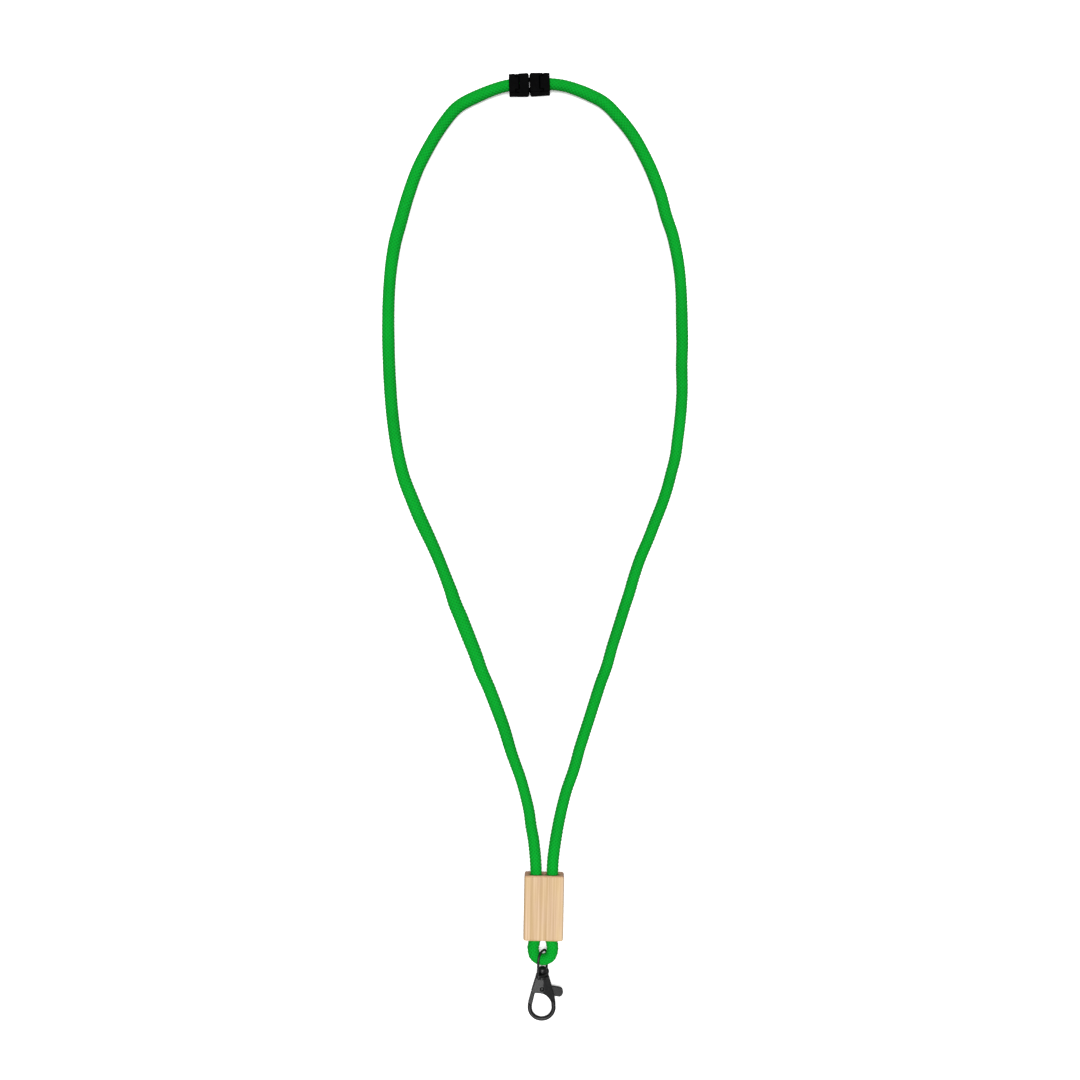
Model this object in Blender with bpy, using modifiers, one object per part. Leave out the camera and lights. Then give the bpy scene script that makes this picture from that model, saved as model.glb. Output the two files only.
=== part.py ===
"""Lanyard badge holder: a round braided neck cord with a breakaway clasp, a bamboo
slide block and a swivel trigger hook, lying flat on a table.

Metres, +Z up.  The origin is the middle of the bamboo block's back face, +Y runs
along the block towards the clasp, and the table is the plane z = 0.
"""
import math

import bmesh
import bpy
from mathutils import Vector

# --- Cord ---------------------------------------------------------------------
CORD_RADIUS = 0.0030
CORD_TUBE_RESOLUTION = 3
CORD_STEP = 5.6 * CORD_RADIUS           # longest step between points of the tube
CORD_TURN = math.radians(13.0)          # sharpest turn between points of the tube
ROUTE_PIECES = 24                       # fine steps between two points of the route

# --- Bamboo block -------------------------------------------------------------
BLOCK_WIDTH = 0.0196
BLOCK_LENGTH = 0.0320
BLOCK_THICKNESS = 0.0120
BLOCK_EDGE = 0.0009
HOLE_OFFSET = 0.0040                    # from the block's middle to each hole
HOLE_RADIUS = 0.0034
HOLE_HEIGHT = 0.5 * BLOCK_THICKNESS
HOLE_FLARE = 0.0006

# --- Breakaway clasp: each half runs outwards along its own +X ------------------
CLASP_CENTRE = (-0.0149, 0.4076)
CLASP_ANGLE = math.radians(3.0)
CLASP_HEIGHT = 0.0086
CLASP_EDGE = 0.0003
HALF_START = 0.00010                    # half the gap between the two halves
HALF_END = 0.01015
HALF_WIDTH = 0.0048                     # half the width at the middle of the clasp
HALF_WIDTH_END = 0.0045                 # half the width at the cord's end
NOTCH_LENGTH = 0.00065
NOTCH_DEPTH = 0.0011
PARTITION_END = 0.00485                 # wall between the snap and the cord's tray
TRAY_HEIGHT = 0.5 * CLASP_HEIGHT        # height of the cord's centre in the clasp
TOOTH_RADIUS = CORD_RADIUS + 0.0002
GROOVE_RADIUS = CORD_RADIUS + 0.0005
GROOVE_INSET = 0.0006                   # from the partition to the first groove
GROOVE_PITCH = 0.00155
GROOVE_LENGTH = 0.00085
GROOVE_COUNT = 3

# --- Clamp lids ----------------------------------------------------------------
LID_THICKNESS = 0.0010
LID_GAP = 0.00015
LID_SHOULDER_GAP = 0.00035              # clears the ears' corners as the lid swings
LID_PIVOT_X = 0.00575
LID_KNUCKLE = 0.00075
LID_SEAT_START = 0.0066                 # where the lid widens past the pivot ears
LID_INNER = 0.0031                      # half the lid's width between the ears
LID_RIB_DEPTH = 0.0019
LID_RIB_LENGTH = 0.0005
LID_RIB_PITCH = 0.0011
LID_RIB_INSET = 0.0001                  # from the lid's free end to its first rib
LID_RIB_COUNT = 3
TRUNNION_RADIUS = 0.00050
TRUNNION_HOLE = 0.00072
TRUNNION_REACH = 0.0041

# --- Snap between the two halves -------------------------------------------------
CAVITY_END = 0.0042
CAVITY_WIDTH = 0.00375                  # half widths
MOUTH_WIDTH = 0.00345
MOUTH_LENGTH = 0.0011
CAVITY_HEIGHT = 0.0042
PRONG_REACH = 0.0039
PRONG_OUTER = 0.0031
PRONG_THICKNESS = 0.0011
PRONG_HEIGHT = 0.0036
BARB_WIDTH = 0.00025
BARB_LENGTH = 0.0010
PRONG_CHAMFER = 0.0004

# --- Swivel trigger hook, in a frame on the cord's bend, +Y towards the cord ------
SWING_CENTRE = (0.0, -0.0264, 0.0060)
HOOK_TILT = math.radians(8.9)
EYE_TWIST = math.radians(62.0)
EYE_WIRE = 0.00060
EYE_HALF_WIDTH = 0.00460
EYE_ARCH_HEIGHT = 0.0046                # above the swing centre
EYE_BASE_TOP = -0.0067
EYE_BASE_BOTTOM = -0.0083
EYE_BASE_LENGTH = 0.00525               # half axes of the base's oval
EYE_BASE_WIDTH = 0.0025
EYE_BASE_EDGE = 0.0003
EYE_LEG_SINK = 0.0007                   # how deep the wire's ends sit in the base
RIVET_HEAD_RADIUS = 0.00235
RIVET_HEAD_TOP = -0.0037
RIVET_DOME = 0.0016                     # height of the head's domed top
RIVET_HEAD_BOTTOM = -0.0065
RIVET_SHAFT = 0.0010
RIVET_END = -0.0104
RIVET_HOLE = 0.00128
BODY_TOP = -0.0086
BODY_THICKNESS = 0.0050
COLLAR_RADIUS = 0.0029
COLLAR_TOP = -0.00845
COLLAR_BOTTOM = -0.0096
SLOT_TOP = -0.0106
SLOT_BOTTOM = -0.0197
SLOT_THICKNESS = 0.0022
SLOT_REACH = 0.0100                     # sideways, past both cheeks
NECK_HOLE_PAST = 0.0001                 # how far the neck's hole breaks into the slot
FACET_DROP = math.radians(8.0)
RIDGE_X = 0.0006                        # where the two facets of a cheek meet
FACET_SPAN = 0.0150                     # reach of the cutters that shape the cheeks
RING_CENTRE = -0.0254
RING_RADIUS = 0.00595                   # centreline of the fixed ring
RING_WIRE = 0.00110
RING_TAPER_TOP = -0.0186
RING_TAPER = math.radians(22.0)
PIN_Y = -0.0148
PIN_RADIUS = 0.00080
PIN_HALF_LENGTH = 0.00225
PIN_HOLE = 0.00102
PIN_EDGE = 0.0002
GATE_THICKNESS = 0.0017
GATE_EDGE = 0.00025
GATE_REACH = 0.0105                     # from the pin to the gate's tip
RING_TIP_REACH = 0.0108                 # from the pin to the fixed ring's tip
GATE_SWEEP_INNER = 0.0076               # inner radius of the room cut for the gate
HUB_RADIUS = 0.0023
POCKET_RADIUS = 0.0019
SPRING_RADIUS = 0.00142
SPRING_WIRE = 0.00016
SPRING_PITCH = 0.00036
SPRING_TURNS = 2
SPRING_BOTTOM = -0.00091                # height of the first coil
SPRING_BEND = 0.0007                    # where the leg straightens from the coil
SPRING_LEG = 0.0020
LEG_NOTCH_WIDTH = 0.0010

# The cord's route, from its end in the socket half, down the left side, through the
# block, round the hook's eye, back through the block and up to the plug half.
CORD_ROUTE = [
    (-0.0199, 0.40735, 0.0043),
    (-0.0260, 0.4070, 0.0043),
    (-0.0385, 0.4028, 0.0034),
    (-0.0502, 0.3962, 0.0031),
    (-0.0588, 0.3858, 0.0031),
    (-0.0682, 0.3688, 0.0031),
    (-0.0751, 0.3490, 0.0031),
    (-0.0806, 0.3270, 0.0031),
    (-0.0830, 0.2980, 0.0031),
    (-0.0797, 0.2400, 0.0031),
    (-0.0730, 0.2090, 0.0031),
    (-0.0556, 0.1710, 0.0031),
    (-0.0439, 0.1420, 0.0031),
    (-0.0216, 0.0880, 0.0031),
    (-0.0090, 0.0500, 0.0035),
    (-0.0047, 0.0250, 0.0053),
    (-0.0040, 0.0140, 0.0060),
    (-0.0040, -0.0158, 0.0060),
    (-0.0048, -0.0210, 0.0060),
    (-0.0036, -0.0249, 0.0060),
    (0.0000, -0.0264, 0.0060),
    (0.0036, -0.0249, 0.0060),
    (0.0048, -0.0210, 0.0060),
    (0.0040, -0.0158, 0.0060),
    (0.0040, 0.0140, 0.0060),
    (0.0044, 0.0250, 0.0053),
    (0.0085, 0.0500, 0.0035),
    (0.0215, 0.0950, 0.0031),
    (0.0343, 0.1380, 0.0031),
    (0.0443, 0.1720, 0.0031),
    (0.0577, 0.2090, 0.0031),
    (0.0635, 0.2450, 0.0031),
    (0.0634, 0.2880, 0.0031),
    (0.0609, 0.3210, 0.0031),
    (0.0513, 0.3550, 0.0031),
    (0.0384, 0.3820, 0.0031),
    (0.0215, 0.4000, 0.0031),
    (0.0053, 0.4070, 0.0036),
    (-0.0038, 0.4082, 0.0043),
    (-0.0099, 0.40785, 0.0043),
]

SMALL_SIDES = 20                        # sides of a pin or a small hole
ROUND_SIDES = 32                        # sides of a larger round
PAST = 0.0030                           # how far a cutter runs past what it cuts


# --- Scene ------------------------------------------------------------------------
def clear_scene():
    for obj in list(bpy.data.objects):
        bpy.data.objects.remove(obj, do_unlink=True)


def new_collection(name):
    collection = bpy.data.collections.new(name)
    bpy.context.scene.collection.children.link(collection)
    return collection


def new_material(name, colour, roughness, metallic=0.0):
    material = bpy.data.materials.new(name)
    material.use_nodes = True
    shader = material.node_tree.nodes["Principled BSDF"]
    shader.inputs["Base Color"].default_value = (*colour, 1.0)
    shader.inputs["Roughness"].default_value = roughness
    shader.inputs["Metallic"].default_value = metallic
    return material


def new_object(name, data, frame=None, location=(0.0, 0.0, 0.0), rotation=(0.0, 0.0, 0.0)):
    """An object in the cutters' collection; finish() moves a real part out of it."""
    obj = bpy.data.objects.new(name, data)
    cutters.objects.link(obj)
    obj.parent = frame
    obj.location = location
    obj.rotation_euler = rotation
    obj.hide_render = True
    obj.display_type = "WIRE"
    return obj


def new_frame(name, location, rotation=(0.0, 0.0, 0.0), frame=None):
    """An empty that a group of pieces is placed in."""
    empty = bpy.data.objects.new(name, None)
    parts.objects.link(empty)
    empty.parent = frame
    empty.location = location
    empty.rotation_euler = rotation
    return empty


def finish(obj, name, material):
    """Make an object one of the named parts."""
    cutters.objects.unlink(obj)
    parts.objects.link(obj)
    obj.name = name
    obj.hide_render = False
    obj.display_type = "TEXTURED"
    obj.data.materials.append(material)
    if obj.type == "MESH":
        obj.data.shade_smooth()
        obj.data.set_sharp_from_angle(angle=math.radians(35.0))
    return obj


# --- Shapes -----------------------------------------------------------------------
def mesh_from(bm, name):
    bmesh.ops.recalc_face_normals(bm, faces=bm.faces)
    mesh = bpy.data.meshes.new(name)
    bm.to_mesh(mesh)
    bm.free()
    return mesh


def box(name, low, high, frame=None, location=(0.0, 0.0, 0.0), rotation=(0.0, 0.0, 0.0)):
    """A box between two corners."""
    low, high = Vector(low), Vector(high)
    bm = bmesh.new()
    bmesh.ops.create_cube(bm, size=1.0)
    bmesh.ops.scale(bm, vec=high - low, verts=bm.verts)
    bmesh.ops.translate(bm, vec=0.5 * (low + high), verts=bm.verts)
    return new_object(name, mesh_from(bm, name), frame, location, rotation)


def rod(name, radius, start, end, sides=SMALL_SIDES, frame=None, location=(0.0, 0.0, 0.0)):
    """A cylinder from start to end."""
    start, end = Vector(start), Vector(end)
    along = end - start
    bm = bmesh.new()
    bmesh.ops.create_cone(bm, cap_ends=True, segments=sides, radius1=radius,
                          radius2=radius, depth=along.length)
    turn = Vector((0.0, 0.0, 1.0)).rotation_difference(along).to_matrix()
    bmesh.ops.rotate(bm, cent=(0.0, 0.0, 0.0), matrix=turn, verts=bm.verts)
    bmesh.ops.translate(bm, vec=0.5 * (start + end), verts=bm.verts)
    return new_object(name, mesh_from(bm, name), frame, location)


def turned(name, profile, sides, frame=None, location=(0.0, 0.0, 0.0),
           rotation=(0.0, 0.0, 0.0)):
    """A solid of revolution about Z from a profile of (radius, height), top first."""
    mesh = bpy.data.meshes.new(name)
    points = [(radius, 0.0, height) for radius, height in profile]
    mesh.from_pydata(points, [(i, i + 1) for i in range(len(points) - 1)], [])
    obj = new_object(name, mesh, frame, location, rotation)
    screw = obj.modifiers.new("Screw", "SCREW")
    screw.axis = "Z"
    screw.steps = screw.render_steps = sides
    screw.use_merge_vertices = True
    screw.merge_threshold = 0.00001
    return obj


def as_mesh(obj):
    """Swap a curve object for a mesh one with welded caps, keeping its place."""
    evaluated = obj.evaluated_get(bpy.context.evaluated_depsgraph_get())
    mesh = bpy.data.meshes.new_from_object(evaluated)
    bm = bmesh.new()
    bm.from_mesh(mesh)
    bmesh.ops.remove_doubles(bm, verts=bm.verts, dist=0.000001)
    bmesh.ops.recalc_face_normals(bm, faces=bm.faces)
    bm.to_mesh(mesh)
    bm.free()
    swapped = new_object(obj.name + "_mesh", mesh, obj.parent, obj.location,
                         obj.rotation_euler)
    bpy.data.objects.remove(obj, do_unlink=True)
    return swapped


def plate(name, outline, low, high, frame=None, location=(0.0, 0.0, 0.0),
          rotation=(0.0, 0.0, 0.0)):
    """A flat outline in X and Y made solid between two heights."""
    curve = bpy.data.curves.new(name, "CURVE")
    curve.dimensions = "2D"
    curve.fill_mode = "BOTH"
    curve.extrude = 0.5 * (high - low)
    spline = curve.splines.new("POLY")
    spline.points.add(len(outline) - 1)
    for point, (x, y) in zip(spline.points, outline):
        point.co = (x, y, 0.0, 1.0)
    spline.use_cyclic_u = True
    obj = new_object(name, curve, frame, location, rotation)
    bpy.context.view_layer.update()
    solid = as_mesh(obj)
    for vertex in solid.data.vertices:
        vertex.co.z += 0.5 * (low + high)
    return solid


def wire(name, points, radius, resolution, frame=None, location=(0.0, 0.0, 0.0),
         rotation=(0.0, 0.0, 0.0)):
    """A round wire along a list of points, with filled ends."""
    curve = bpy.data.curves.new(name, "CURVE")
    curve.dimensions = "3D"
    curve.bevel_depth = radius
    curve.bevel_resolution = resolution
    curve.use_fill_caps = True
    spline = curve.splines.new("POLY")
    spline.points.add(len(points) - 1)
    for point, place in zip(spline.points, points):
        point.co = (*place, 1.0)
    return new_object(name, curve, frame, location, rotation)


def arc(centre, radius, start, end, count, squash=1.0):
    """Points on an arc about centre; squash scales it along Y."""
    points = []
    for i in range(count + 1):
        angle = start + (end - start) * i / count
        points.append((centre[0] + radius * math.cos(angle),
                       centre[1] + squash * radius * math.sin(angle)))
    return points


def cut(obj, cutter):
    boolean = obj.modifiers.new("Cut " + cutter.name, "BOOLEAN")
    boolean.operation = "DIFFERENCE"
    boolean.object = cutter


def join(obj, other):
    boolean = obj.modifiers.new("Join " + other.name, "BOOLEAN")
    boolean.operation = "UNION"
    boolean.object = other


def round_edges(obj, width, segments, angle=40.0):
    bevel = obj.modifiers.new("Rounded edges", "BEVEL")
    bevel.width = width
    bevel.segments = segments
    bevel.limit_method = "ANGLE"
    bevel.angle_limit = math.radians(angle)


# --- Cord -------------------------------------------------------------------------
def smooth_curve(route, pieces):
    """Points on a centripetal Catmull-Rom curve through the route's points."""
    points = [Vector(point) for point in route]
    points = [2.0 * points[0] - points[1]] + points + [2.0 * points[-1] - points[-2]]
    curve = []
    for a, b, c, d in zip(points, points[1:], points[2:], points[3:]):
        t1 = math.sqrt((b - a).length)
        t2 = t1 + math.sqrt((c - b).length)
        t3 = t2 + math.sqrt((d - c).length)
        for i in range(pieces):
            t = t1 + (t2 - t1) * i / pieces
            ab = a.lerp(b, t / t1)
            bc = b.lerp(c, (t - t1) / (t2 - t1))
            cd = c.lerp(d, (t - t2) / (t3 - t2))
            abc = ab.lerp(bc, t / t2)
            bcd = bc.lerp(cd, (t - t1) / (t3 - t1))
            curve.append(abc.lerp(bcd, (t - t1) / (t2 - t1)))
    return curve + [points[-2]]


def spaced_points(curve):
    """Points of a fine curve, closer together where it turns and at the clasp."""
    exits = (ROUTE_PIECES, len(curve) - 1 - ROUTE_PIECES)
    kept = [curve[0]]
    direction = curve[1] - curve[0]
    for i in range(1, len(curve) - 1):
        ahead = curve[i + 1] - curve[i]
        far = (curve[i] - kept[-1]).length > CORD_STEP
        if far or i in exits or ahead.angle(direction) > CORD_TURN:
            kept.append(curve[i])
            direction = ahead
    return kept + [curve[-1]]


def build_cord():
    points = spaced_points(smooth_curve(CORD_ROUTE, ROUTE_PIECES))
    cord = wire("cord_tube", points, CORD_RADIUS, CORD_TUBE_RESOLUTION)
    finish(cord, "cord", green_braid)


# --- Bamboo block -----------------------------------------------------------------
def build_block():
    half = 0.5 * BLOCK_LENGTH
    block = box("block_blank", (-0.5 * BLOCK_WIDTH, -half, 0.0),
                (0.5 * BLOCK_WIDTH, half, BLOCK_THICKNESS))
    round_edges(block, BLOCK_EDGE, 3)
    mouth = HOLE_RADIUS + HOLE_FLARE + PAST
    profile = [(0.0, half + PAST), (mouth, half + PAST), (HOLE_RADIUS, half - HOLE_FLARE),
               (HOLE_RADIUS, HOLE_FLARE - half), (mouth, -half - PAST), (0.0, -half - PAST)]
    for side in (-1.0, 1.0):
        cut(block, turned("cord_hole", profile, ROUND_SIDES,
                          location=(side * HOLE_OFFSET, 0.0, HOLE_HEIGHT),
                          rotation=(math.radians(-90.0), 0.0, 0.0)))
    finish(block, "bamboo_block", bamboo)


# --- Breakaway clasp ----------------------------------------------------------------
def half_outline():
    """Plan of one clasp half: a V notch at the middle, tapering to the cord's end."""
    side = [(HALF_START, HALF_WIDTH - NOTCH_DEPTH),
            (HALF_START + NOTCH_LENGTH, HALF_WIDTH),
            (HALF_END, HALF_WIDTH_END)]
    return [(x, -y) for x, y in side] + [(x, y) for x, y in reversed(side)]


def trough(name, radius, start, end, frame):
    """A cutter for a round-bottomed channel along X at the cord's height, open above."""
    bottom = arc((0.0, TRAY_HEIGHT), radius, -math.pi, 0.0, 16)
    outline = bottom + [(radius, CLASP_HEIGHT + PAST), (-radius, CLASP_HEIGHT + PAST)]
    return plate(name, outline, start, end, frame,
                 rotation=(math.radians(90.0), 0.0, math.radians(90.0)))


def shape_tray(body, frame):
    """The tray for the cord's end, open at the top, with ears for the lid's pivot."""
    past_end = HALF_END + PAST
    lid_seat = CLASP_HEIGHT - LID_THICKNESS - LID_GAP
    for i in range(GROOVE_COUNT):
        start = PARTITION_END + GROOVE_INSET + i * GROOVE_PITCH
        cut(body, trough("tooth_groove", GROOVE_RADIUS, start, start + GROOVE_LENGTH, frame))
    cut(body, trough("tray", TOOTH_RADIUS, PARTITION_END, past_end, frame))
    cut(body, box("lid_seat", (LID_SEAT_START, -2.0 * HALF_WIDTH, lid_seat),
                  (past_end, 2.0 * HALF_WIDTH, CLASP_HEIGHT + PAST), frame))
    pivot_height = CLASP_HEIGHT - LID_KNUCKLE
    cut(body, rod("trunnion_holes", TRUNNION_HOLE,
                  (LID_PIVOT_X, -2.0 * HALF_WIDTH, pivot_height),
                  (LID_PIVOT_X, 2.0 * HALF_WIDTH, pivot_height), SMALL_SIDES, frame))


def half_blank(frame):
    blank = plate("half_blank", half_outline(), 0.0, CLASP_HEIGHT, frame)
    round_edges(blank, CLASP_EDGE, 2)
    return blank


def build_socket(frame):
    body = half_blank(frame)
    low, high = TRAY_HEIGHT - 0.5 * CAVITY_HEIGHT, TRAY_HEIGHT + 0.5 * CAVITY_HEIGHT
    cut(body, box("socket_mouth", (-PAST, -MOUTH_WIDTH, low),
                  (MOUTH_LENGTH + LID_GAP, MOUTH_WIDTH, high), frame))
    cut(body, box("socket_cavity", (MOUTH_LENGTH, -CAVITY_WIDTH, low),
                  (CAVITY_END, CAVITY_WIDTH, high), frame))
    shape_tray(body, frame)
    finish(body, "clasp_socket_body", black_plastic)


def build_plug(frame):
    """The other half, with two barbed prongs that snap into the socket's cavity."""
    body = half_blank(frame)
    low, high = TRAY_HEIGHT - 0.5 * PRONG_HEIGHT, TRAY_HEIGHT + 0.5 * PRONG_HEIGHT
    root = HALF_START + NOTCH_LENGTH
    inner = PRONG_OUTER - PRONG_THICKNESS
    for side in (-1.0, 1.0):
        prong = [(root, inner), (root, PRONG_OUTER),
                 (BARB_LENGTH - PRONG_REACH, PRONG_OUTER),
                 (BARB_LENGTH - PRONG_REACH, PRONG_OUTER + BARB_WIDTH),
                 (PRONG_CHAMFER - PRONG_REACH, PRONG_OUTER + BARB_WIDTH - PRONG_CHAMFER),
                 (-PRONG_REACH, PRONG_OUTER - PRONG_CHAMFER), (-PRONG_REACH, inner)]
        outline = [(x, side * y) for x, y in prong]
        join(body, plate("prong", outline, low, high, frame))
    shape_tray(body, frame)
    finish(body, "clasp_plug_body", black_plastic)


def build_lid(frame, name):
    """A clamp lid on two trunnions, with arched ribs that hold the cord down."""
    pivot = (LID_PIVOT_X, 0.0, CLASP_HEIGHT - LID_KNUCKLE)
    end = HALF_END - LID_PIVOT_X
    wide = LID_SEAT_START + LID_SHOULDER_GAP - LID_PIVOT_X
    taper = (HALF_WIDTH - HALF_WIDTH_END) / (HALF_END - HALF_START - NOTCH_LENGTH)
    seat_width = HALF_WIDTH_END + taper * (end - wide)
    top, bottom = LID_KNUCKLE, LID_KNUCKLE - LID_THICKNESS
    side = [(0.0, LID_INNER), (wide, LID_INNER), (wide, seat_width), (end, HALF_WIDTH_END)]
    outline = [(x, -y) for x, y in side] + [(x, y) for x, y in reversed(side)]
    lid = plate("lid_plate", outline, bottom, top, frame, pivot)
    round_edges(lid, CLASP_EDGE, 2, angle=60.0)
    join(lid, rod("knuckle", LID_KNUCKLE, (0.0, -LID_INNER, 0.0), (0.0, LID_INNER, 0.0),
                  SMALL_SIDES, frame, pivot))
    join(lid, rod("trunnions", TRUNNION_RADIUS, (0.0, -TRUNNION_REACH, 0.0),
                  (0.0, TRUNNION_REACH, 0.0), SMALL_SIDES, frame, pivot))
    for i in range(LID_RIB_COUNT):
        start = end - LID_RIB_INSET - LID_RIB_LENGTH - i * LID_RIB_PITCH
        join(lid, box("lid_rib", (start, -LID_INNER, bottom - LID_RIB_DEPTH),
                      (start + LID_RIB_LENGTH, LID_INNER, 0.5 * (bottom + top)), frame, pivot))
    cut(lid, rod("lid_arch", TOOTH_RADIUS, (-PAST, 0.0, TRAY_HEIGHT - pivot[2]),
                 (end + PAST, 0.0, TRAY_HEIGHT - pivot[2]), ROUND_SIDES, frame, pivot))
    finish(lid, name, black_plastic)


def build_clasp():
    clasp = new_frame("clasp_frame", (*CLASP_CENTRE, 0.0), (0.0, 0.0, CLASP_ANGLE))
    socket = new_frame("socket_frame", (0.0, 0.0, 0.0), (0.0, 0.0, math.pi), clasp)
    plug = new_frame("plug_frame", (0.0, 0.0, 0.0), (0.0, 0.0, 0.0), clasp)
    build_socket(socket)
    build_plug(plug)
    build_lid(socket, "clasp_socket_lid")
    build_lid(plug, "clasp_plug_lid")


# --- Swivel eye and its rivet --------------------------------------------------------
def build_eye(frame):
    """A wire stirrup round the cord on an oval base, twisted about the hook's axis."""
    twist = (0.0, EYE_TWIST, 0.0)
    leg_end = EYE_BASE_TOP - EYE_LEG_SINK
    arch = arc((0.0, 0.0), EYE_HALF_WIDTH, math.pi, 0.0, 20, EYE_ARCH_HEIGHT / EYE_HALF_WIDTH)
    path = [(-EYE_HALF_WIDTH, leg_end)] + arch + [(EYE_HALF_WIDTH, leg_end)]
    stirrup = wire("stirrup", [(x, y, 0.0) for x, y in path], EYE_WIRE, 3, frame,
                   rotation=twist)
    bpy.context.view_layer.update()
    eye = as_mesh(stirrup)
    bm = bmesh.new()
    bmesh.ops.create_cone(bm, cap_ends=True, segments=ROUND_SIDES, radius1=1.0, radius2=1.0,
                          depth=EYE_BASE_TOP - EYE_BASE_BOTTOM)
    bmesh.ops.scale(bm, vec=(EYE_BASE_LENGTH, EYE_BASE_WIDTH, 1.0), verts=bm.verts)
    base = new_object("eye_base", mesh_from(bm, "eye_base"), frame,
                      (0.0, 0.5 * (EYE_BASE_TOP + EYE_BASE_BOTTOM), 0.0),
                      (math.radians(90.0), EYE_TWIST, 0.0))
    round_edges(base, EYE_BASE_EDGE, 2)
    cut(base, rod("rivet_hole", RIVET_HOLE, (0.0, EYE_BASE_TOP + PAST, 0.0),
                  (0.0, EYE_BASE_BOTTOM - PAST, 0.0), SMALL_SIDES, frame))
    join(eye, base)
    finish(eye, "swivel_eye", gunmetal)


def build_rivet(frame):
    """The swivel's rivet: a domed head inside the eye, its shaft held in the hook."""
    profile = []
    for i in range(6):
        angle = 0.5 * math.pi * i / 5
        profile.append((RIVET_HEAD_RADIUS * math.sin(angle),
                        RIVET_HEAD_TOP - RIVET_DOME * (1.0 - math.cos(angle))))
    profile += [(RIVET_HEAD_RADIUS, RIVET_HEAD_BOTTOM), (RIVET_SHAFT, RIVET_HEAD_BOTTOM),
                (RIVET_SHAFT, RIVET_END), (0.0, RIVET_END)]
    rivet = turned("rivet", profile, ROUND_SIDES, frame,
                   rotation=(math.radians(-90.0), 0.0, 0.0))
    finish(rivet, "swivel_rivet", gunmetal)


# --- Hook body -----------------------------------------------------------------------
def ring_path():
    """Centreline of the fixed ring: from the body's right side, round to its tip."""
    root = [(0.0050, -0.0188), (0.0055, -0.0208), (0.0058, -0.0227)]
    round_part = arc((0.0, RING_CENTRE), RING_RADIUS, math.radians(10.0),
                     math.radians(-180.0), 24)
    return root + round_part + [(-0.0059, -0.0240), (-0.0057, -0.0225)]


def build_hook_body(frame):
    """Two cheeks with a slot for the gate, joined at the neck and at the ring's root."""
    cheeks = [(-0.0031, BODY_TOP), (-0.0044, -0.0133), (-0.0054, -0.0170), (-0.0006, -0.0170),
              (0.0008, -0.0173), (0.0021, -0.0181), (0.0032, -0.0193), (0.0041, -0.0208),
              (0.0046, -0.0222), (0.0067, -0.0222), (0.0064, -0.0200), (0.0057, -0.0172),
              (0.0045, -0.0133), (0.0031, BODY_TOP)]
    thick = 0.5 * BODY_THICKNESS
    body = plate("cheeks", cheeks, -thick, thick, frame)
    for side in (-1.0, 1.0):
        low, high = sorted((0.0, side * PAST))
        for way in (-1.0, 1.0):
            left, right = sorted((0.0, way * FACET_SPAN))
            cut(body, box("facet", (left, -2.0 * FACET_SPAN, low), (right, 0.0, high), frame,
                          (RIDGE_X, 0.0, side * thick), (0.0, way * side * FACET_DROP, 0.0)))
        cut(body, box("ring_root_taper", (-FACET_SPAN, -FACET_SPAN, low),
                      (FACET_SPAN, 0.0, high), frame, (0.0, RING_TAPER_TOP, side * thick),
                      (side * RING_TAPER, 0.0, 0.0)))
    join(body, rod("collar", COLLAR_RADIUS, (0.0, COLLAR_TOP, 0.0), (0.0, COLLAR_BOTTOM, 0.0),
                   ROUND_SIDES, frame))
    ring = wire("ring", [(x, y, 0.0) for x, y in ring_path()], RING_WIRE, 3, frame)
    bpy.context.view_layer.update()
    ring = as_mesh(ring)
    outer = arc((0.0, PIN_Y), RING_TIP_REACH, math.radians(-150.0), math.radians(-105.0), 16)
    inner = arc((0.0, PIN_Y), GATE_SWEEP_INNER, math.radians(-105.0), math.radians(-150.0), 4)
    cut(ring, plate("gate_clearance", outer + inner, -PAST, PAST, frame))
    join(body, ring)
    slot = 0.5 * SLOT_THICKNESS
    cut(body, box("gate_slot", (-SLOT_REACH, SLOT_BOTTOM, -slot), (SLOT_REACH, SLOT_TOP, slot),
                  frame))
    cut(body, rod("pin_hole", PIN_HOLE, (0.0, PIN_Y, -thick - PAST),
                  (0.0, PIN_Y, thick + PAST), SMALL_SIDES, frame))
    cut(body, rod("neck_hole", RIVET_HOLE, (0.0, BODY_TOP + PAST, 0.0),
                  (0.0, SLOT_TOP - NECK_HOLE_PAST, 0.0), SMALL_SIDES, frame))
    finish(body, "hook_body", gunmetal)


# --- Gate, its pin and its spring ------------------------------------------------------
def gate_outline():
    """Thumb tab, hub and gate bar as one lever, about the pin."""
    tip = arc((0.0, 0.0), GATE_REACH, math.radians(-130.6), math.radians(-117.6), 5)
    tab = arc((0.0085, -0.0021), 0.0020, math.radians(-80.0), math.radians(80.0), 8, 1.2)
    hub = arc((0.0, 0.0), HUB_RADIUS, math.radians(60.0), math.radians(140.0), 5)
    return (hub + [(-0.0040, 0.0003), (-0.0048, -0.0012), (-0.0055, -0.0026)] + tip +
            [(-0.0036, -0.0031), (-0.0027, -0.0023), (-0.0014, -0.0021), (0.0006, -0.0022),
             (0.0030, -0.0030), (0.0052, -0.0039)] + tab + [(0.0044, 0.0010)])


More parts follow.
